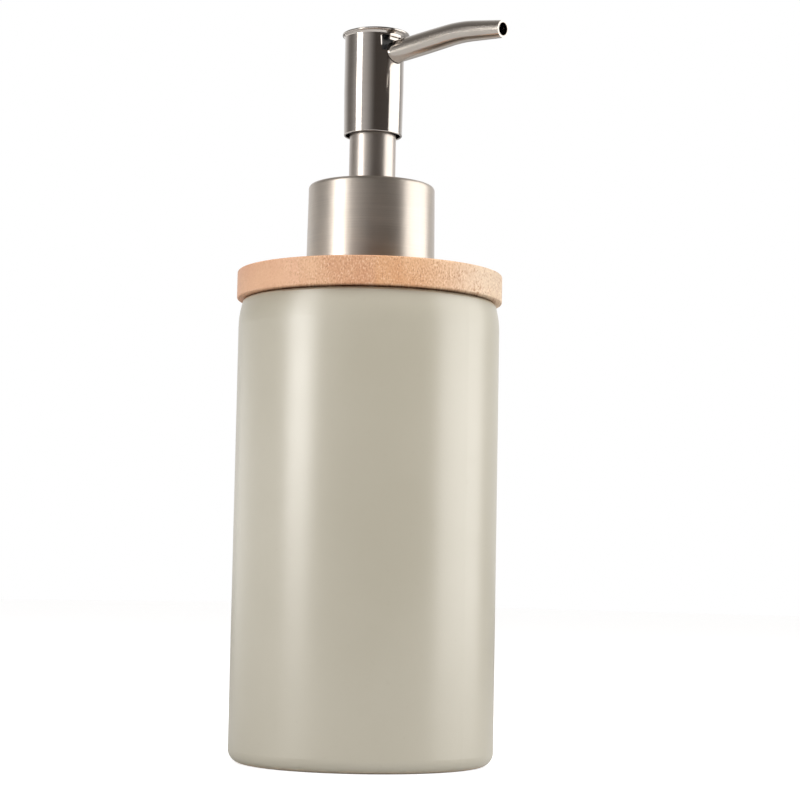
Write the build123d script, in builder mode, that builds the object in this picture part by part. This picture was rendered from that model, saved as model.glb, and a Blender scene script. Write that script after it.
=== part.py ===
"""Soap pump dispenser: ceramic bottle, bamboo ring and a telescoping steel pump.

Millimetres. +Z is up the pump axis, the spout points along +X, and the origin is the centre of
the base, on the surface that the bottle stands on. The pump is at rest: head up, cap screwed home.
"""
import os
from math import atan2, cos, radians, sin, sqrt, tan

from build123d import *

os.makedirs("parts", exist_ok=True)

# ---- Driving dimensions ----------------------------------------------------------------------
# Ceramic bottle
BOTTLE_R = 35.0
BOTTLE_WALL = 4.0
BOTTLE_TOP = 122.3
SHOULDER_R = 33.9            # the wall curves in a little below the ring
SHOULDER_CORNER = 118.0
SHOULDER_BEND = 24.0
BASE_ROUNDING = 3.5
FOOT_WIDTH = 5.0             # unglazed foot ring
FOOT_RECESS = 1.0
NECK_R = 15.6
NECK_TOP = 128.3
NECK_BORE_R = 12.8

# Bamboo ring
RING_R = 35.6
RING_BORE_R = 15.8
RING_SEAT = 122.7            # raised land that carries the ring, so a thin shadow gap shows
RING_SEAT_R = 31.0
RING_TOP = 130.1
RING_EDGE = 0.5
RING_LOWER_EDGE = 0.35

# Threaded finish, 28 mm closure
THREAD_PITCH = 4.2333        # six threads to the inch
THREAD_TURNS = 1.25
THREAD_ROOT_R = 12.65
THREAD_CREST_R = 13.7
THREAD_START = 140.2         # height of the ridge's middle where it begins
INSERT_BORE_R = 10.7
INSERT_FLANGE_R = 15.0
INSERT_FLANGE = 1.4
INSERT_BOTTOM = 117.6
LAND = 147.9                 # sealing face at the mouth

# Screw cap and its steel shell
CAP_R = 16.7
CAP_BORE_R = 13.95
CAP_RIDGE_R = 12.95
CAP_BOTTOM = 130.4
CAP_CEILING = 150.5
CAP_TOP = 153.7
CAP_HOLE_R = 9.0
COLLAR_R = 17.3
COLLAR_DRAFT = 0.3           # the shell narrows by this much towards its top
COLLAR_BOTTOM = 130.2
COLLAR_TOP = 154.2
COLLAR_EDGE = 1.1

# Fixed guide that the head slides over
GUIDE_R = 6.28
GUIDE_WALL = 0.4
GUIDE_TOP = 171.0
GUIDE_CLEARANCE = 0.09       # running clearance in the collar's hole

# Pump chamber
HOUSING_FLANGE_R = 12.5
FLANGE = 1.2
SOCKET_BORE_R = 8.6          # upper bore, which holds the chaplet
SOCKET_WALL = 1.0
SOCKET_FLOOR = 136.3
CYLINDER_R = 7.0
CYLINDER_WALL = 1.0
CYLINDER_FLOOR = 101.0
BALL_CHAMBER_R = 2.9
SEAT_BORE_R = 1.8
SEAT_BOTTOM = 93.2
SEAT_TOP = 94.6
DIP_SOCKET_BOTTOM = 80.0
DIP_R = 3.0
DIP_BORE_R = 2.1
DIP_TIP = 7.5

# Plunger and stem
STEM_R = 3.0
STEM_BORE_R = 1.6
STEM_TOP = 184.5
STEM_NECK_R = 2.6            # lower end, which carries the piston
RUNNING = 0.05               # radial clearance of sliding fits
PUSHED = 0.03                # radial clearance of pieces pushed into one another
PISTON_BOTTOM = 128.4
PISTON_TOP = 134.4
RETAINER_THICKNESS = 1.5
BALL_R_INLET = 2.5
BALL_R_OUTLET = 2.0
WIRE_R = 0.45
COIL_R = 5.6
COIL_TURNS = 7.5

# Head
HEAD_R = 8.06
HEAD_WALL = 0.5
HEAD_BOTTOM = 168.0
HEAD_DRAFT = 0.17            # the tube narrows by this much at its lower end
HEAD_DRAFT_START = 180.0
FLARE_START = 194.95
FLARE_R = 8.45
FLARE_BEND = 0.5
RIM_BOTTOM = 195.45
RIM_R = 8.8
RIM_REACH = 0.9              # the rim is drawn out this far over the spout
HEAD_TOP = 196.1
NOTCH_HALF = 4.3
NOTCH_BOTTOM = 190.2
NOTCH_TOP = 194.4
FLAT_TOP_X = 6.48            # pressed flat beside the notch, which runs out at its foot
FLAT_FOOT_X = 6.64
TONGUE_HALF = 1.9
TONGUE_X = (6.0, 7.15)
TONGUE_BOTTOM = 193.5
CORE_BOTTOM = 184.2
CORE_GAP = 0.07
BOSS_R = 4.1
BOSS_BOTTOM = 176.0
CHAMBER_R = 2.4
CHAMBER_TOP = 191.0
CORE_FLAT = 5.6              # flat behind the notch

# Spout: a rising leg, one soft bend and a falling leg, tapering towards the tip
SPOUT_AXIS_Z = 189.48        # height of the rising leg where it leaves the pump axis
SPOUT_RISE = 4.7             # degrees
SPOUT_FALL = 6.2
SPOUT_START = 6.9            # distance of the cut root from the pump axis
SPOUT_CORNER = 30.7
SPOUT_TIP = 44.8
SPOUT_BEND_R = 45.0
SPOUT_ROOT_R = 2.98
SPOUT_MID_R = 2.80
SPOUT_TIP_R = 2.28
SPOUT_BORE_R = 1.70
ROOT_EDGE = 0.4              # rounding of the cut root
NIPPLE_R = 2.0
NIPPLE_LENGTH = 5.0


# ---- Helpers ---------------------------------------------------------------------------------
def turn(corners, mode=Mode.ADD):
    """Revolve a closed outline of (radius, height) or (radius, height, fillet) corners."""
    points = [corner[:2] for corner in corners]
    fillets = [corner[2] if len(corner) == 3 else 0 for corner in corners]
    with BuildSketch(Plane.XZ) as profile:
        with BuildLine():
            if any(fillets):
                FilletPolyline(*points, radius=fillets, close=True)
            else:
                Polyline(*points, close=True)
        make_face()
    revolve(profile.sketch, axis=Axis.Z, mode=mode)


def save(builder, name):
    """Label a finished piece and write it to its own file."""
    builder.part.label = name
    export_step(builder.part, f"parts/{name}.step")


def thread_ridge(root_r, crest_r, middle_z):
    """A helical ridge of trapezoid section that stands on root_r and ends at crest_r."""
    depth = crest_r - root_r
    outward = 1 if depth > 0 else -1
    foot, root_half, crest_half = -0.15 * outward, 1.1, 0.65
    if outward < 0:
        root_half, crest_half = 0.8, 0.42
    with BuildPart() as ridge:
        with BuildLine(Plane.XY.offset(middle_z)) as path:
            Helix(THREAD_PITCH, THREAD_PITCH * THREAD_TURNS, root_r)
        start = Plane(origin=path.line @ 0, x_dir=(1, 0, 0), z_dir=path.line % 0)
        with BuildSketch(start):
            with BuildLine():
                Polyline(
                    (foot, -root_half),
                    (depth, -crest_half),
                    (depth, crest_half),
                    (foot, root_half),
                    close=True,
                )
            make_face()
        sweep(path=path.line, is_frenet=True)
    return ridge.part


# ---- Bottle ----------------------------------------------------------------------------------
def ceramic_bottle():
    inner_r = BOTTLE_R - BOTTLE_WALL
    floor = BOTTLE_WALL + FOOT_RECESS
    foot_r = BOTTLE_R - BASE_ROUNDING
    with BuildPart() as bottle:
        turn([
            (0, FOOT_RECESS),
            (foot_r - FOOT_WIDTH, FOOT_RECESS, 0.4),
            (foot_r - FOOT_WIDTH, 0, 0.4),
            (BOTTLE_R, 0, BASE_ROUNDING),
            (BOTTLE_R, SHOULDER_CORNER, SHOULDER_BEND),
            (SHOULDER_R, BOTTLE_TOP, 0.8),
            (RING_SEAT_R, BOTTLE_TOP, 0.1),
            (RING_SEAT_R, RING_SEAT, 0.1),
            (NECK_R, RING_SEAT, 0.1),
            (NECK_R, NECK_TOP, 0.5),
            (NECK_BORE_R, NECK_TOP, 0.3),
            (NECK_BORE_R, BOTTLE_TOP - 5.0, 1.5),
            (inner_r, BOTTLE_TOP - 7.0, 5),
            (inner_r, floor, 6),
            (0, floor),
        ])
    return bottle


def bamboo_ring():
    with BuildPart() as ring:
        turn([
            (RING_BORE_R, RING_SEAT),
            (RING_R, RING_SEAT, RING_LOWER_EDGE),
            (RING_R, RING_TOP, RING_EDGE),
            (RING_BORE_R, RING_TOP),
        ])
    return ring


def neck_insert():
    """Threaded plastic mouth, bonded into the ceramic neck."""
    ridge = thread_ridge(THREAD_ROOT_R, THREAD_CREST_R, THREAD_START)
    with BuildPart() as insert:
        turn([
            (INSERT_BORE_R, INSERT_BOTTOM),
            (NECK_BORE_R, INSERT_BOTTOM),
            (NECK_BORE_R, NECK_TOP),
            (INSERT_FLANGE_R, NECK_TOP),
            (INSERT_FLANGE_R, NECK_TOP + INSERT_FLANGE),
            (THREAD_ROOT_R, NECK_TOP + INSERT_FLANGE),
            (THREAD_ROOT_R, LAND),
            (INSERT_BORE_R, LAND),
        ])
        add(ridge)
    return insert


# ---- Screw cap -------------------------------------------------------------------------------
def screw_cap():
    """Plastic cap whose inner ridge runs just under the ridge of the neck."""
    ridge = thread_ridge(CAP_BORE_R, CAP_RIDGE_R, THREAD_START - 1.62)
    with BuildPart() as cap:
        turn([
            (CAP_BORE_R, CAP_BOTTOM),
            (CAP_R, CAP_BOTTOM),
            (CAP_R, CAP_TOP, 0.8),
            (CAP_HOLE_R, CAP_TOP),
            (CAP_HOLE_R, CAP_CEILING),
            (CAP_BORE_R, CAP_CEILING),
        ])
        add(ridge)
    return cap


def collar_shell():
    """Drawn steel shell over the cap, with the edge of its hole turned up round the guide."""
    hole_r = GUIDE_R + GUIDE_CLEARANCE
    lip_r = hole_r + 0.5
    with BuildPart() as collar:
        turn([
            (CAP_R, COLLAR_BOTTOM),
            (COLLAR_R, COLLAR_BOTTOM, 0.2),
            (COLLAR_R - COLLAR_DRAFT, COLLAR_TOP, COLLAR_EDGE),
            (lip_r, COLLAR_TOP, 0.2),
            (lip_r, COLLAR_TOP + 0.45, 0.2),
            (hole_r, COLLAR_TOP + 0.45, 0.2),
            (hole_r, CAP_TOP),
            (CAP_R, CAP_TOP, 0.7),
        ])
    return collar


# ---- Pump body -------------------------------------------------------------------------------
def neck_gasket():
    with BuildPart() as gasket:
        turn([
            (INSERT_BORE_R + 0.1, LAND),
            (HOUSING_FLANGE_R, LAND),
            (HOUSING_FLANGE_R, LAND + FLANGE),
            (INSERT_BORE_R + 0.1, LAND + FLANGE),
        ])
    return gasket


def pump_housing():
    """Chamber: flange, socket for the chaplet, cylinder, ball seat and dip tube socket."""
    flange_bottom = LAND + FLANGE
    socket_r = SOCKET_BORE_R + SOCKET_WALL
    cylinder_r = CYLINDER_R + CYLINDER_WALL
    with BuildPart() as housing:
        turn([
            (HOUSING_FLANGE_R, flange_bottom),
            (HOUSING_FLANGE_R, flange_bottom + FLANGE, 0.2),
            (SOCKET_BORE_R, flange_bottom + FLANGE),
            (SOCKET_BORE_R, SOCKET_FLOOR),
            (CYLINDER_R, SOCKET_FLOOR),
            (CYLINDER_R, CYLINDER_FLOOR),
            (CYLINDER_R - 1.4, CYLINDER_FLOOR),
            (BALL_CHAMBER_R, CYLINDER_FLOOR - 3.4),
            (BALL_CHAMBER_R, SEAT_TOP),
            (SEAT_BORE_R, SEAT_BOTTOM),
            (SEAT_BORE_R, SEAT_BOTTOM - 1.2),
            (DIP_R, SEAT_BOTTOM - 1.2),
            (DIP_R, DIP_SOCKET_BOTTOM),
            (DIP_R + 1.2, DIP_SOCKET_BOTTOM, 0.3),
            (DIP_R + 1.2, SEAT_BOTTOM + 2.4, 1.0),
            (cylinder_r, CYLINDER_FLOOR - 1.6, 2.0),
            (cylinder_r, SOCKET_FLOOR - 2.2, 0.6),
            (socket_r, SOCKET_FLOOR - 0.4, 0.6),
            (socket_r, flange_bottom, 0.1),
        ])
        with BuildSketch(Plane.XZ):
            with Locations((0, PISTON_TOP - 3.0)):
                Circle(0.5)
        extrude(amount=cylinder_r + 1, mode=Mode.SUBTRACT)
    return housing


def chaplet():
    """Guide bush pressed into the housing: it keeps the stem in line and carries the guide tube."""
    flange_bottom = LAND + 2 * FLANGE
    guide_bore_r = STEM_R + RUNNING
    plug_r = SOCKET_BORE_R - PUSHED
    tower_r = GUIDE_R - GUIDE_WALL
    with BuildPart() as bush:
        turn([
            (guide_bore_r, SOCKET_FLOOR),
            (plug_r, SOCKET_FLOOR),
            (plug_r, flange_bottom),
            (CAP_HOLE_R - 0.25, flange_bottom),
            (CAP_HOLE_R - 0.25, CAP_TOP - 0.25, 0.2),
            (tower_r, CAP_TOP - 0.25),
            (tower_r, GUIDE_TOP, 0.3),
            (BOSS_R + 0.35, GUIDE_TOP, 0.3),
            (BOSS_R + 0.35, 157.0),
            (guide_bore_r, 155.5),
            (guide_bore_r, 150.0),
            (STEM_R + 1.6, 148.5),
            (STEM_R + 1.6, 143.0),
            (guide_bore_r, 141.5),
        ])
    return bush


def guide_sleeve():
    with BuildPart() as sleeve:
        turn([
            (GUIDE_R - GUIDE_WALL, CAP_TOP - 0.25),
            (GUIDE_R, CAP_TOP - 0.25),
            (GUIDE_R, GUIDE_TOP, 0.2),
            (GUIDE_R - GUIDE_WALL, GUIDE_TOP),
        ])
    return sleeve


def dip_tube():
    """Suction tube, cut on the slant so that it can't seal itself against the floor."""
    with BuildPart() as tube:
        with BuildSketch(Plane.XY.offset(DIP_TIP)):
            Circle(DIP_R - PUSHED)
            Circle(DIP_BORE_R, mode=Mode.SUBTRACT)
        extrude(amount=SEAT_BOTTOM - 1.2 - DIP_TIP)
        slant = Plane(origin=(0, 0, DIP_TIP + DIP_R), z_dir=(-1, 0, 1))
        split(bisect_by=slant, keep=Keep.TOP)
    return tube


def inlet_ball():
    """Ball at rest on its conical seat."""
    half_angle = atan2(BALL_CHAMBER_R - SEAT_BORE_R, SEAT_TOP - SEAT_BOTTOM)
    apex = SEAT_BOTTOM - SEAT_BORE_R / tan(half_angle)
    centre = apex + BALL_R_INLET / sin(half_angle)
    with BuildPart() as ball:
        with Locations((0, 0, centre + 0.01)):
            Sphere(BALL_R_INLET)
    return ball


def ball_cage():
    """Disc over the inlet ball: its peg stops the ball and its holes let the soap past."""
    thickness = 1.2
    with BuildPart() as cage:
        turn([
            (0, CYLINDER_FLOOR - 1.9),
            (1.1, CYLINDER_FLOOR - 1.9, 0.3),
            (1.1, CYLINDER_FLOOR),
            (CYLINDER_R - RUNNING, CYLINDER_FLOOR),
            (CYLINDER_R - RUNNING, CYLINDER_FLOOR + thickness, 0.2),
            (0, CYLINDER_FLOOR + thickness),
        ])
        with PolarLocations(3.4, 4):
            Hole(1.1)
    return cage


def return_spring():
    """Compression spring between the ball cage and the piston, with ground ends."""
    bottom = CYLINDER_FLOOR + 1.2
    height = PISTON_BOTTOM - RETAINER_THICKNESS - bottom
    with BuildPart() as spring:
        with BuildLine(Plane.XY.offset(bottom)) as path:
            Helix(height / COIL_TURNS, height, COIL_R)
        with BuildSketch(Plane(origin=path.line @ 0, x_dir=(1, 0, 0), z_dir=path.line % 0)):
            Circle(WIRE_R)
        sweep(path=path.line, is_frenet=True)
        with BuildSketch(Plane.XY.offset(bottom)):
            Circle(COIL_R + 2 * WIRE_R)
        extrude(amount=height, mode=Mode.INTERSECT)
    return spring


# ---- Plunger ---------------------------------------------------------------------------------
def piston():
    """Soft cup with an upper and a lower lip."""
    hub_r = CYLINDER_R - 2.2
    lip_r = CYLINDER_R - RUNNING
    with BuildPart() as cup:
        turn([
            (STEM_NECK_R + RUNNING, PISTON_BOTTOM),
            (hub_r, PISTON_BOTTOM),
            (hub_r, PISTON_BOTTOM + 2.3),
            (lip_r - 0.55, PISTON_BOTTOM + 0.2),
            (lip_r, PISTON_BOTTOM + 0.2),
            (lip_r, PISTON_BOTTOM + 1.2),
            (lip_r - 0.5, PISTON_BOTTOM + 2.4),
            (lip_r - 0.5, PISTON_TOP - 2.4),
            (lip_r, PISTON_TOP - 1.2),
            (lip_r, PISTON_TOP - 0.2),
            (lip_r - 0.55, PISTON_TOP - 0.2),
            (hub_r, PISTON_TOP - 2.3),
            (hub_r, PISTON_TOP),
            (STEM_NECK_R + RUNNING, PISTON_TOP),
        ])
    return cup


def piston_retainer():
    """Flanged ring under the piston, which the spring pushes on."""
    with BuildPart() as retainer:
        turn([
            (STEM_NECK_R + RUNNING, PISTON_BOTTOM - RETAINER_THICKNESS),
            (COIL_R + 0.7, PISTON_BOTTOM - RETAINER_THICKNESS, 0.2),
            (COIL_R + 0.7, PISTON_BOTTOM - 0.3, 0.2),
            (CYLINDER_R - 2.4, PISTON_BOTTOM),
            (STEM_NECK_R + RUNNING, PISTON_BOTTOM),
        ])
    return retainer


# ---- Head ------------------------------------------------------------------------------------
def spout_line():
    """Root, corner and tip of the spout's centreline in the XZ plane."""
    corner_z = SPOUT_AXIS_Z + SPOUT_CORNER * tan(radians(SPOUT_RISE))
    root = (SPOUT_START, SPOUT_AXIS_Z + SPOUT_START * tan(radians(SPOUT_RISE)))
    tip = (SPOUT_TIP, corner_z - (SPOUT_TIP - SPOUT_CORNER) * tan(radians(SPOUT_FALL)))
    return root, (SPOUT_CORNER, corner_z), tip


def spout_plane(distance):
    """Plane square to the rising leg, this far from the pump axis."""
    rise = radians(SPOUT_RISE)
    return Plane(
        origin=(distance, 0, SPOUT_AXIS_Z + distance * tan(rise)),
        x_dir=(0, 1, 0),
        z_dir=(cos(rise), 0, sin(rise)),
    )


def stem():
    """Hollow rod from the piston to the head, with a shoulder that stops on the chaplet."""
    bottom = PISTON_BOTTOM - RETAINER_THICKNESS - 0.6
    with BuildPart() as rod:
        turn([
            (STEM_BORE_R, bottom),
            (STEM_NECK_R, bottom, 0.2),
            (STEM_NECK_R, PISTON_TOP + 0.1),
            (STEM_R + 1.5, PISTON_TOP + 0.1),
            (STEM_R + 1.5, SOCKET_FLOOR - 0.3, 0.3),
            (STEM_R, SOCKET_FLOOR - 0.3, 0.2),
            (STEM_R, STEM_TOP),
            (STEM_BORE_R, STEM_TOP),
        ])
    return rod


def outlet_ball():
    """Ball at rest on the open top of the stem."""
    centre = STEM_TOP + sqrt(BALL_R_OUTLET**2 - STEM_BORE_R**2)
    with BuildPart() as ball:
        with Locations((0, 0, centre + 0.01)):
            Sphere(BALL_R_OUTLET)
    return ball


def actuator_core():
    """Plastic core of the head: stem socket, outlet valve chamber and spout nipple."""
    body_r = HEAD_R - HEAD_WALL - CORE_GAP
    core_top = RIM_BOTTOM - 0.1
    recess_bottom = SPOUT_AXIS_Z - 3.2
    with BuildPart() as core:
        turn([
            (0, CORE_BOTTOM),
            (body_r, CORE_BOTTOM, 0.4),
            (body_r, core_top),
            (0, core_top),
        ])
        with BuildSketch(Plane.YZ.offset(CORE_FLAT)):
            with Locations((0, core_top)):
                Rectangle(2 * body_r, 2 * (core_top - recess_bottom))
        extrude(amount=body_r, mode=Mode.SUBTRACT)
        with BuildSketch(spout_plane(CORE_FLAT - 0.5)):
            Circle(SPOUT_ROOT_R - 0.4)
        extrude(amount=(SPOUT_START - CORE_FLAT + 0.5) / cos(radians(SPOUT_RISE)) - PUSHED)
        with BuildSketch(spout_plane(CORE_FLAT)):
            Circle(NIPPLE_R - PUSHED)
        extrude(amount=SPOUT_START - CORE_FLAT + NIPPLE_LENGTH - 0.2)
        with BuildSketch(Plane.XY.offset(BOSS_BOTTOM)):
            Circle(BOSS_R)
        extrude(amount=CORE_BOTTOM - BOSS_BOTTOM)
        with BuildSketch(Plane.XY.offset(BOSS_BOTTOM)):
            Circle(STEM_R + PUSHED)
        extrude(amount=STEM_TOP - BOSS_BOTTOM, mode=Mode.SUBTRACT)
        with BuildSketch(Plane.XY.offset(STEM_TOP)):
            Circle(CHAMBER_R)
        extrude(amount=CHAMBER_TOP - STEM_TOP, mode=Mode.SUBTRACT)
        with BuildSketch(spout_plane(0)):
            Circle(SPOUT_BORE_R - 0.25)
        extrude(amount=SPOUT_START + NIPPLE_LENGTH + 1, mode=Mode.SUBTRACT)
        with BuildSketch(Plane.XY.offset(core_top)):
            Circle(3.5)
        extrude(amount=-1.7, mode=Mode.SUBTRACT)
    return core


def head_shell():
    """Steel tube, flared under the rim, with a notch that the spout stands in."""
    inner_r = HEAD_R - HEAD_WALL
    root_z = spout_line()[0][1]
    with BuildPart() as shell:
        turn([
            (inner_r - HEAD_DRAFT, HEAD_BOTTOM, 0.2),
            (HEAD_R - HEAD_DRAFT, HEAD_BOTTOM, 0.28),
            (HEAD_R, HEAD_DRAFT_START),
            (HEAD_R, FLARE_START, FLARE_BEND),
            (FLARE_R, RIM_BOTTOM),
            (FLARE_R - HEAD_WALL, RIM_BOTTOM),
            (inner_r, FLARE_START + 0.1, FLARE_BEND),
            (inner_r, HEAD_DRAFT_START),
        ])
        with BuildSketch(Plane.YZ):
            with Locations((0, (NOTCH_BOTTOM + NOTCH_TOP) / 2)):
                RectangleRounded(2 * NOTCH_HALF, NOTCH_TOP - NOTCH_BOTTOM, 0.5)
            with Locations((0, root_z)):
                Circle(SPOUT_ROOT_R + 0.12)
        extrude(amount=HEAD_R + 3, mode=Mode.SUBTRACT)
        with BuildSketch(Plane.XZ):
            with BuildLine():
                Polyline(
                    (FLAT_FOOT_X, NOTCH_BOTTOM),
                    (FLAT_TOP_X, NOTCH_TOP - 0.1),
                    (HEAD_R + 1, NOTCH_TOP - 0.1),
                    (HEAD_R + 1, NOTCH_BOTTOM),
                    close=True,
                )
            make_face()
        extrude(amount=HEAD_R, both=True, mode=Mode.SUBTRACT)
    return shell


def head_cap():
    """Steel lid: rolled edge drawn out over the spout, spigot in the core, tongue over the spout."""
    with BuildPart() as cap:
        with BuildSketch(Plane.XY.offset(RIM_BOTTOM)):
            with Locations((RIM_REACH / 2, 0)):
                SlotCenterToCenter(RIM_REACH, 2 * RIM_R)
        extrude(amount=HEAD_TOP - RIM_BOTTOM)
        fillet(cap.edges().group_by(Axis.Z)[-1], 0.34)
        fillet(cap.edges().group_by(Axis.Z)[0], 0.26)
        with BuildSketch(Plane.XY.offset(RIM_BOTTOM)):
            Circle(3.45)
        extrude(amount=-1.7)
        with BuildSketch(Plane.XY.offset(TONGUE_BOTTOM)):
            with Locations((sum(TONGUE_X) / 2, 0)):
                RectangleRounded(TONGUE_X[1] - TONGUE_X[0], 2 * TONGUE_HALF, 0.25)
        extrude(amount=RIM_BOTTOM + 0.1 - TONGUE_BOTTOM)
    return cap


def spout_tube():
    """Tapered steel tube with one soft bend, cut square at both ends."""
    root, corner, tip = spout_line()
    with BuildPart() as spout:
        with BuildLine(Plane.XZ) as path:
            FilletPolyline(root, corner, tip, radius=SPOUT_BEND_R)
        for place, radius in ((0, SPOUT_ROOT_R), (0.64, SPOUT_MID_R), (1, SPOUT_TIP_R)):
            with BuildSketch(Plane(origin=path.line @ place, x_dir=(0, 1, 0), z_dir=path.line % place)):
                Circle(radius)
        sweep(path=path.line, multisection=True)
        with BuildSketch(Plane(origin=path.line @ 0, x_dir=(0, 1, 0), z_dir=path.line % 0)):
            Circle(SPOUT_BORE_R)
        sweep(path=path.line, mode=Mode.SUBTRACT)
        root_edges = spout.edges().filter_by(lambda edge: edge.bounding_box().max.X < SPOUT_START + 0.5)
        fillet(root_edges.sort_by(SortBy.LENGTH)[-1], ROOT_EDGE)
        with BuildSketch(spout_plane(SPOUT_START)):
            Circle(NIPPLE_R)
        extrude(amount=NIPPLE_LENGTH, mode=Mode.SUBTRACT)
    return spout


PIECES = (
    ceramic_bottle, bamboo_ring, neck_insert, screw_cap, collar_shell, neck_gasket, pump_housing,
    chaplet, guide_sleeve, dip_tube, inlet_ball, ball_cage, return_spring, piston, piston_retainer,
    stem, outlet_ball, actuator_core, head_shell, head_cap, spout_tube,
)

for piece in PIECES:
    save(piece(), piece.__name__)
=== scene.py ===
from math import cos, pi, radians, sin, tan

import bpy
from mathutils import Matrix, Vector


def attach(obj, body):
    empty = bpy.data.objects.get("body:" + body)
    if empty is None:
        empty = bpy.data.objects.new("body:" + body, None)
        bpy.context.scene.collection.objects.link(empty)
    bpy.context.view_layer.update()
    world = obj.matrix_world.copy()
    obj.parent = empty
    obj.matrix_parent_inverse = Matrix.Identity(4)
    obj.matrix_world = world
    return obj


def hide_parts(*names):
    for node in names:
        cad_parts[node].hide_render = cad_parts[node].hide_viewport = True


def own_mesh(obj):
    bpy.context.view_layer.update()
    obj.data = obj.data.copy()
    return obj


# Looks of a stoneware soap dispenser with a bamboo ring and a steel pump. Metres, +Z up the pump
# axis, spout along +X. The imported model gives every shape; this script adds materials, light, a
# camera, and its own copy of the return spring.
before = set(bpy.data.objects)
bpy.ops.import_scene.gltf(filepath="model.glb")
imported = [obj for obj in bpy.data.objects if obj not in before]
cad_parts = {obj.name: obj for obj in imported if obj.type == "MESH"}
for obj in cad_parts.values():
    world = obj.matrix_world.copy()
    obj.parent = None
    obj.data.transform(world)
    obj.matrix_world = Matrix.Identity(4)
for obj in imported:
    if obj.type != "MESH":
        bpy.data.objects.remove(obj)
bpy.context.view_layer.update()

# ---- Camera ----------------------------------------------------------------------------------
VIEW_AZIMUTH = radians(42.5)         # the camera stands this far round from -Y towards +X
CAMERA_DISTANCE = 0.5598             # from the pump axis
CAMERA_HEIGHT = 0.04765
CAMERA_TURN = radians(0.89)          # to its right, away from the pump axis
CAMERA_PITCH = radians(4.988)        # upwards
CAMERA_ROLL = radians(1.078)
CAMERA_LENS = 94.29                  # millimetres
CAMERA_SENSOR = 36                   # millimetres
CLIP_START = 0.01

UP = Vector((0, 0, 1))
TO_CAMERA = Vector((sin(VIEW_AZIMUTH), -cos(VIEW_AZIMUTH), 0))
CAMERA_RIGHT = Vector((cos(VIEW_AZIMUTH), sin(VIEW_AZIMUTH), 0))

# ---- Light -----------------------------------------------------------------------------------
PANEL_DISTANCE = 0.7                 # from the origin, or from the pump axis for upright panels
OVERHEAD_BEARING = radians(25)
OVERHEAD_RISE = radians(62)
OVERHEAD_SIZE = 0.6
OVERHEAD_RADIANCE = 3.5

LEFT_TINT = (1.0, 0.985, 0.96)
RIGHT_TINT = (1.0, 0.99, 0.97)
CARD_TINT = (1.0, 1.0, 0.97)
SOFTBOXES = (                        # name, first and last bearing, bottom, top, radiance, tint
    ("left_upper", -71, -48, 0.21, 0.80, 2.7, LEFT_TINT),
    ("left_lower", -71, -48, 0.08, 0.21, 7.0, LEFT_TINT),
    ("right_upper", 63, 120, 0.21, 0.80, 1.9, RIGHT_TINT),
    ("right_lower", 63, 116, 0.0, 0.21, 2.7, RIGHT_TINT),
    ("low_card", -145, -78, 0.0, 0.19, 1.0, CARD_TINT),
)

SURROUND = (                         # what reflections see, from behind the object to its front
    (0.0, (1.0, 1.0, 1.0)),
    (0.28, (0.25, 0.24, 0.23)),
    (0.5, (0.13, 0.12, 0.11)),
    (0.8, (0.085, 0.075, 0.068)),
    (1.0, (0.075, 0.066, 0.060)),
)
FLANK_BEARING = radians(-50)         # middle of a soft glow on the left
FLANK_GLOW = 0.74                    # squared, it is the glow's strength there
SKY_GLOW = 0.08

FLOOR_HALF = 3.0
FLOOR_TONE = 0.70
FLOOR_GLOW = 0.76                    # lifts the floor, as the camera sees it, to the white behind

# ---- Scales of the surface detail, as features per metre -------------------------------------
CLOUDS = 28
GLAZE_SATIN = 90
STEEL_HAZE = 140
FOOT_WANDER = 350
GLAZE_SPECKS = 700
DIMPLES = 1500
FINE_GRAIN = 4000
ROUND_LINES = (45, 45, 5000)         # along X, Y and Z: lines that run round the pump axis
SPOUT_LINES = (70, 4200, 4200)       # lines that run along the spout
FLOW_MARKS = (120, 120, 40)
BAMBOO_BANDS = (12, 90, 60)          # the bamboo's X runs along its fibres
BAMBOO_FIBRES = (60, 2700, 1600)
BAMBOO_CLUMPS = (30, 300, 260)

# ---- Bamboo strips, from the camera's left to its right --------------------------------------
STRIP_WIDTH = 0.0191
STRIP_START = 0.0012                 # from the pump axis to the nearest seam
SEAM_HALF = 0.008                    # half width of a glue line, in strips
STRIP_TONES = (
    (0.66, 0.345, 0.215),
    (0.61, 0.315, 0.178),
    (0.625, 0.31, 0.150),
    (0.68, 0.52, 0.375),
)
STRIP_BLENDS = (0.04, 0.04, 0.50)    # half width of the change between neighbours, in strips

# ---- Spout centreline ------------------------------------------------------------------------
SPOUT_RISE = tan(radians(4.7))
SPOUT_FALL = tan(radians(6.2))
SPOUT_CORNER = 0.0307                # distance of the bend from the pump axis


def bearing(angle):
    """Horizontal direction at this angle from the camera's, positive to the camera's right."""
    return cos(angle) * TO_CAMERA + sin(angle) * CAMERA_RIGHT


def place(thing, right, up, position):
    """Set an object's axes and position. Cameras and lights look along minus their third axis."""
    axes = Matrix((right, up, right.cross(up))).transposed()
    thing.matrix_world = Matrix.Translation(position) @ axes.to_4x4()


def link(name, data):
    """A new object with this data, in the scene."""
    thing = bpy.data.objects.new(name, data)
    bpy.context.scene.collection.objects.link(thing)
    return thing


# ---- Node helpers ----------------------------------------------------------------------------
def add(tree, kind, inputs=None, **settings):
    """Add a shader node. Each input is a socket to link or a value to set."""
    node = tree.nodes.new("ShaderNode" + kind)
    for name, value in settings.items():
        setattr(node, name, value)
    for name, value in (inputs or {}).items():
        if isinstance(value, bpy.types.NodeSocket):
            tree.links.new(value, node.inputs[name])
        else:
            node.inputs[name].default_value = value
    return node


def noise(tree, where, scale, detail=3.0, roughness=0.5):
    """Noise at this place, between 0 and 1."""
    inputs = {"Vector": where, "Scale": scale, "Detail": detail, "Roughness": roughness}
    return add(tree, "TexNoise", inputs).outputs["Fac"]


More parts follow.
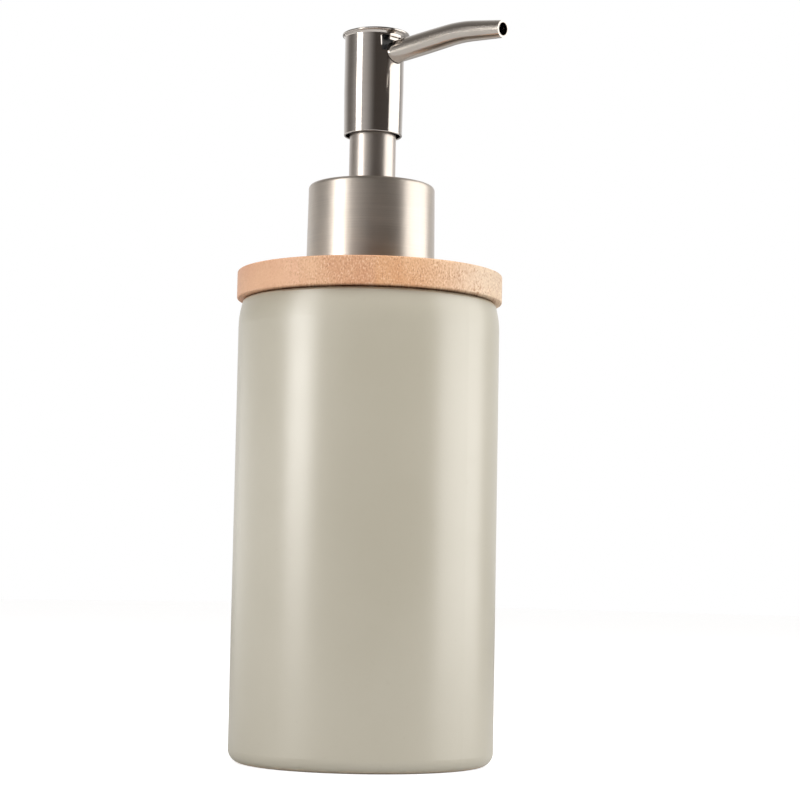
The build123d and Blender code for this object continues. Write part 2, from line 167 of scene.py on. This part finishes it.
def stretched(tree, where, scale, turn=0.0):
    """Turn coordinates about Z, then scale each axis."""
    turned = add(tree, "Mapping", {"Vector": where, "Rotation": (0, 0, turn)}).outputs["Vector"]
    return add(tree, "Mapping", {"Vector": turned, "Scale": scale}).outputs["Vector"]


def math(tree, operation, a, b=0.0):
    """The result of one sum, whose terms are sockets or numbers."""
    return add(tree, "Math", {0: a, 1: b}, operation=operation).outputs["Value"]


def remap(tree, value, low, high, start=0.0, end=1.0):
    """Map the value from start..end to low..high, and hold it there outside."""
    inputs = {"Value": value, "From Min": start, "From Max": end, "To Min": low, "To Max": high}
    return add(tree, "MapRange", inputs).outputs["Result"]


def grey(tree, value):
    """A colour with this value in all three channels."""
    return add(tree, "CombineColor", {0: value, 1: value, 2: value}).outputs["Color"]


def blend(tree, factor, a, b, mode="MIX"):
    """Mix two colours, each a socket or an (r, g, b)."""
    node = add(tree, "Mix", {0: factor}, data_type="RGBA", blend_type=mode)
    for socket, value in ((node.inputs[6], a), (node.inputs[7], b)):
        if isinstance(value, bpy.types.NodeSocket):
            tree.links.new(value, socket)
        else:
            socket.default_value = (*value, 1)
    return node.outputs[2]


def bump(tree, height, distance, strength=1.0, under=None):
    """A bumped normal, over the normal of the bump under it."""
    inputs = {"Height": height, "Distance": distance, "Strength": strength}
    if under:
        inputs["Normal"] = under
    return add(tree, "Bump", inputs).outputs["Normal"]


def surface(name, **constants):
    """A new material: its node tree, its Principled shader and the place on the object."""
    material = bpy.data.materials.new(name)
    material.use_nodes = True
    tree = material.node_tree
    shader = tree.nodes["Principled BSDF"]
    for socket, value in constants.items():
        shader.inputs[socket.replace("_", " ")].default_value = value
    where = add(tree, "TexCoord").outputs["Object"]
    return material, tree, shader, where


def drive(tree, shader, color, roughness, normal):
    """Link what varies over the surface to its shader."""
    for socket, value in (("Base Color", color), ("Roughness", roughness), ("Normal", normal)):
        tree.links.new(value, shader.inputs[socket])


# ---- Materials -------------------------------------------------------------------------------
def stoneware():
    """Satin glaze, softly clouded, with orange peel; the foot ring is bare clay."""
    deep_glaze, pale_glaze = (0.445, 0.412, 0.325), (0.470, 0.436, 0.350)
    speck, clay = (0.40, 0.36, 0.28), (0.62, 0.52, 0.40)
    material, tree, shader, where = surface("stoneware", IOR=2.0)
    clouds = remap(tree, noise(tree, where, CLOUDS), 0.0, 1.0, 0.3, 0.7)
    specks = remap(tree, noise(tree, where, GLAZE_SPECKS, 2.0), 0.0, 0.25, 0.66, 0.80)
    height = add(tree, "SeparateXYZ", {"Vector": where}).outputs["Z"]
    wander = remap(tree, noise(tree, where, FOOT_WANDER), -0.0004, 0.0004)
    bare = remap(tree, math(tree, "ADD", height, wander), 1.0, 0.0, 0.0005, 0.0009)
    color = blend(tree, clouds, deep_glaze, pale_glaze)
    color = blend(tree, specks, color, speck)
    color = blend(tree, bare, color, clay)
    satin = remap(tree, noise(tree, where, GLAZE_SATIN), 0.29, 0.35)
    rough = math(tree, "MAXIMUM", satin, math(tree, "MULTIPLY", bare, 0.85))
    peel = bump(tree, noise(tree, where, DIMPLES, 1.0), 0.00003, 0.35)
    grit = bump(tree, noise(tree, where, FINE_GRAIN), 0.00005, bare, peel)
    drive(tree, shader, color, rough, grit)
    return material


def bamboo():
    """Laminated strips whose fibres run towards the camera, so the front shows their ends."""
    straw, pith = (0.85, 0.57, 0.35), (0.95, 0.76, 0.55)
    vessel, glue = (0.42, 0.20, 0.10), (0.50, 0.26, 0.13)
    material, tree, shader, where = surface("bamboo", IOR=1.45)
    grain = stretched(tree, where, (1, 1, 1), pi / 2 - VIEW_AZIMUTH)
    across = add(tree, "SeparateXYZ", {"Vector": grain}).outputs["Y"]

    count = math(tree, "DIVIDE", math(tree, "SUBTRACT", across, STRIP_START), STRIP_WIDTH)
    color = STRIP_TONES[0]
    for seam, (tone, half) in enumerate(zip(STRIP_TONES[1:], STRIP_BLENDS), start=-1):
        change = remap(tree, count, 0.0, 1.0, seam - half, seam + half)
        color = blend(tree, change, color, tone)
    bands = noise(tree, stretched(tree, grain, BAMBOO_BANDS), 1)
    color = blend(tree, remap(tree, bands, 0.0, 0.55, 0.35, 0.70), color, straw)

    fibre = noise(tree, stretched(tree, grain, BAMBOO_FIBRES), 1, 1.5)
    clumps = noise(tree, stretched(tree, grain, BAMBOO_CLUMPS), 1)
    thinning = remap(tree, across, 0.25, 1.0, -0.024, -0.012)     # fewer specks at the left
    patchy = math(tree, "MULTIPLY", remap(tree, clumps, 0.45, 1.0, 0.35, 0.60), thinning)
    pale = remap(tree, fibre, 0.0, 0.50, 0.53, 0.70)
    color = blend(tree, math(tree, "MULTIPLY", pale, patchy), color, pith)
    dark = remap(tree, fibre, 0.85, 0.0, 0.32, 0.47)
    color = blend(tree, math(tree, "MULTIPLY", dark, patchy), color, vessel)

    from_middle = math(tree, "ABSOLUTE", math(tree, "SUBTRACT", math(tree, "FRACT", count), 0.5))
    seams = remap(tree, from_middle, 0.0, 0.35, 0.5 - SEAM_HALF, 0.5)
    color = blend(tree, seams, color, glue)
    rough = remap(tree, fibre, 0.42, 0.58)
    relief = math(tree, "ADD", math(tree, "MULTIPLY", pale, 0.6), fibre)
    drive(tree, shader, color, rough, bump(tree, relief, 0.00005, 0.6))
    return material


def round_lines(tree, where):
    """Lines that run round the pump axis."""
    return stretched(tree, where, ROUND_LINES)


def along_spout(tree, where):
    """Lines that run along the spout: its height above the bent centreline takes the place of Z."""
    axes = add(tree, "SeparateXYZ", {"Vector": where})
    x, y, z = (axes.outputs[axis] for axis in "XYZ")
    past_corner = math(tree, "MAXIMUM", math(tree, "SUBTRACT", x, SPOUT_CORNER), 0.0)
    bend = math(tree, "MULTIPLY", past_corner, SPOUT_RISE + SPOUT_FALL)
    line = math(tree, "SUBTRACT", math(tree, "MULTIPLY", x, SPOUT_RISE), bend)
    above = math(tree, "SUBTRACT", z, line)
    straight = add(tree, "CombineXYZ", {"X": x, "Y": y, "Z": above}).outputs["Vector"]
    return stretched(tree, straight, SPOUT_LINES)


def steel(name, tint, smooth, coarse, depth, contrast=0.055, lines=round_lines):
    """Worked steel with fine lines. Roughness goes from smooth to coarse, and depth is the lines'."""
    material, tree, shader, where = surface(name, Metallic=1.0)
    stroke = noise(tree, lines(tree, where), 1, 4.0, 0.65)
    haze = noise(tree, where, STEEL_HAZE, 2.0)
    warmer = tuple(part * shift for part, shift in zip(tint, (1.03, 1.0, 0.96)))
    light = remap(tree, stroke, 1.0 - contrast, 1.0 + contrast, 0.25, 0.75)
    color = blend(tree, 1.0, blend(tree, haze, tint, warmer), grey(tree, light), "MULTIPLY")
    wear = math(tree, "ADD", stroke, math(tree, "MULTIPLY", haze, 0.6))
    rough = remap(tree, wear, smooth, coarse, 0.45, 1.15)
    drive(tree, shader, color, rough, bump(tree, stroke, depth, 0.5))
    return material, tree, shader


def brushed_steel():
    """Turned finish of the collar, whose highlights its grooves stretch."""
    material, tree, shader = steel("brushed_steel", (0.60, 0.55, 0.50), 0.30, 0.44, 0.00003, 0.09)
    shader.inputs["Anisotropic"].default_value = 0.45
    shader.inputs["Anisotropic Rotation"].default_value = 0.25
    tangent = add(tree, "Tangent", direction_type="RADIAL", axis="Z")
    tree.links.new(tangent.outputs["Tangent"], shader.inputs["Tangent"])
    return material


def polished_steel():
    return steel("polished_steel", (0.60, 0.56, 0.53), 0.08, 0.14, 0.000004)[0]


def guide_steel():
    return steel("guide_steel", (0.60, 0.55, 0.51), 0.26, 0.36, 0.000002, 0.02)[0]


def satin_steel():
    return steel("satin_steel", (0.58, 0.54, 0.50), 0.13, 0.21, 0.00001, 0.10, along_spout)[0]


def steel_ball():
    return steel("steel_ball", (0.72, 0.72, 0.72), 0.05, 0.09, 0.000001)[0]


def spring_steel():
    return steel("spring_steel", (0.50, 0.50, 0.50), 0.22, 0.34, 0.000004)[0]


def plastic(name, color, rough, **constants):
    """Moulded plastic: faint flow marks, a fine spark-eroded grain and a slight change of tone."""
    material, tree, shader, where = surface(name, **constants)
    flow = noise(tree, stretched(tree, where, FLOW_MARKS), 1, 2.0)
    deeper = tuple(0.94 * part for part in color)
    tone = blend(tree, remap(tree, flow, 0.0, 1.0, 0.3, 0.7), color, deeper)
    grain = noise(tree, where, FINE_GRAIN, 2.0)
    drive(tree, shader, tone, remap(tree, grain, rough, rough + 0.1), bump(tree, grain, 0.00001, 0.5))
    return material


def dress(material, *nodes):
    """Give CAD nodes this material."""
    for node in nodes:
        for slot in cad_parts[node].material_slots:
            slot.material = material


# ---- Return spring ---------------------------------------------------------------------------
def shortening_spring(material):
    """The CAD return spring again, as a piece with a mesh of its own, carried by the pump body."""
    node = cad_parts["return_spring"]
    spring = link("coil_spring", node.data.copy())
    spring.matrix_world = node.matrix_world
    spring.data.materials.clear()
    spring.data.materials.append(material)
    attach(spring, "pump")
    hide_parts("return_spring")
    bpy.context.view_layer.update()
    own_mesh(spring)


# ---- Studio ----------------------------------------------------------------------------------
def make_camera():
    """The viewing angle of the object's picture."""
    ahead = cos(CAMERA_TURN) * -TO_CAMERA + sin(CAMERA_TURN) * CAMERA_RIGHT
    level_right = ahead.cross(UP)
    ahead = cos(CAMERA_PITCH) * ahead + sin(CAMERA_PITCH) * UP
    level_up = level_right.cross(ahead)
    right = cos(CAMERA_ROLL) * level_right + sin(CAMERA_ROLL) * level_up
    up = cos(CAMERA_ROLL) * level_up - sin(CAMERA_ROLL) * level_right
    camera = link("camera", bpy.data.cameras.new("camera"))
    camera.data.lens = CAMERA_LENS
    camera.data.sensor_width = CAMERA_SENSOR
    camera.data.clip_start = CLIP_START
    place(camera, right, up, CAMERA_DISTANCE * TO_CAMERA + CAMERA_HEIGHT * UP)
    bpy.context.scene.camera = camera


def panel(name, width, height, radiance):
    """A soft rectangular light that the camera doesn't see."""
    lamp = link(name, bpy.data.lights.new(name, "AREA"))
    lamp.data.shape = "RECTANGLE"
    lamp.data.size = width
    lamp.data.size_y = height
    lamp.data.energy = radiance * pi * width * height
    lamp.visible_camera = False
    return lamp


def softbox(name, first, last, bottom, top, radiance, tint):
    """An upright panel that covers these bearings (degrees) as seen from the pump axis."""
    width, height = 2 * PANEL_DISTANCE * tan(radians((last - first) / 2)), top - bottom
    lamp = panel(name, width, height, radiance)
    lamp.data.color = tint
    away = bearing(radians((first + last) / 2))
    place(lamp, UP.cross(away), UP, PANEL_DISTANCE * away + (bottom + height / 2) * UP)


def overhead():
    """A panel above and in front, which reflections don't show."""
    away = cos(OVERHEAD_RISE) * bearing(OVERHEAD_BEARING) + sin(OVERHEAD_RISE) * UP
    right = UP.cross(away).normalized()
    lamp = panel("overhead", OVERHEAD_SIZE, OVERHEAD_SIZE, OVERHEAD_RADIANCE)
    lamp.visible_glossy = False
    place(lamp, right, away.cross(right), PANEL_DISTANCE * away)


def make_world():
    """White to the camera. Reflections see a dim front, a lit left flank and a bright back."""
    world = bpy.data.worlds.new("studio")
    bpy.context.scene.world = world
    world.use_nodes = True
    tree = world.node_tree
    direction = add(tree, "TexCoord").outputs["Generated"]

    def facing(axis):
        inputs = {0: direction, 1: tuple(axis)}
        return add(tree, "VectorMath", inputs, operation="DOT_PRODUCT").outputs["Value"]

    frontness = remap(tree, facing(TO_CAMERA), 0.0, 1.0, -1.0, 1.0)
    surround = add(tree, "ValToRGB", {"Fac": frontness})
    stops = surround.color_ramp.elements
    stops[0].color = (*SURROUND[0][1], 1)
    stops[1].color = (*SURROUND[-1][1], 1)
    for position, color in SURROUND[1:-1]:
        stops.new(position).color = (*color, 1)

    flank = remap(tree, facing(bearing(FLANK_BEARING)), 0.0, FLANK_GLOW, 0.50, 0.98)
    flank = math(tree, "MULTIPLY", flank, flank)
    sky = remap(tree, facing(UP), 0.0, SKY_GLOW, 0.35, 1.0)
    glow = grey(tree, math(tree, "MAXIMUM", flank, sky))
    reflected = blend(tree, 1.0, surround.outputs["Color"], glow, "ADD")

    unseen = add(tree, "Background", {"Color": reflected})
    seen = add(tree, "Background", {"Color": (1, 1, 1, 1)})
    ray = add(tree, "LightPath").outputs["Is Camera Ray"]
    choose = add(tree, "MixShader", {0: ray, 1: unseen.outputs[0], 2: seen.outputs[0]})
    tree.links.new(choose.outputs[0], tree.nodes["World Output"].inputs["Surface"])


def make_floor():
    """A wide pale tabletop that fades into the white background."""
    half = FLOOR_HALF
    mesh = bpy.data.meshes.new("floor")
    corners = [(-half, -half, 0), (half, -half, 0), (half, half, 0), (-half, half, 0)]
    mesh.from_pydata(corners, [], [(0, 1, 2, 3)])
    floor = link("floor", mesh)
    tone = (FLOOR_TONE, FLOOR_TONE, FLOOR_TONE, 1)
    material, tree, shader, _ = surface("tabletop", Base_Color=tone, Roughness=0.9,
                                        Specular_IOR_Level=0.1, Emission_Color=(1, 1, 1, 1))
    ray = add(tree, "LightPath").outputs["Is Camera Ray"]
    tree.links.new(math(tree, "MULTIPLY", ray, FLOOR_GLOW), shader.inputs["Emission Strength"])
    mesh.materials.append(material)


bpy.context.scene.view_settings.view_transform = "Standard"
make_camera()
for box in SOFTBOXES:
    softbox(*box)
overhead()
make_world()
make_floor()

dress(stoneware(), "ceramic_bottle")
dress(bamboo(), "bamboo_ring")
dress(brushed_steel(), "collar_shell")
dress(polished_steel(), "head_shell", "head_cap")
dress(guide_steel(), "guide_sleeve")
dress(satin_steel(), "spout_tube")
dress(plastic("white_plastic", (0.86, 0.85, 0.82), 0.32), "screw_cap", "neck_insert", "chaplet")
dress(plastic("dark_plastic", (0.05, 0.05, 0.05), 0.35), "actuator_core")
dress(plastic("natural_plastic", (0.80, 0.81, 0.78), 0.30, Transmission_Weight=0.25),
      "pump_housing", "dip_tube", "ball_cage", "piston_retainer", "stem")
dress(plastic("soft_plastic", (0.72, 0.77, 0.82), 0.45), "piston")
dress(plastic("gasket", (0.62, 0.62, 0.60), 0.60), "neck_gasket")
dress(steel_ball(), "inlet_ball", "outlet_ball")
shortening_spring(spring_steel())
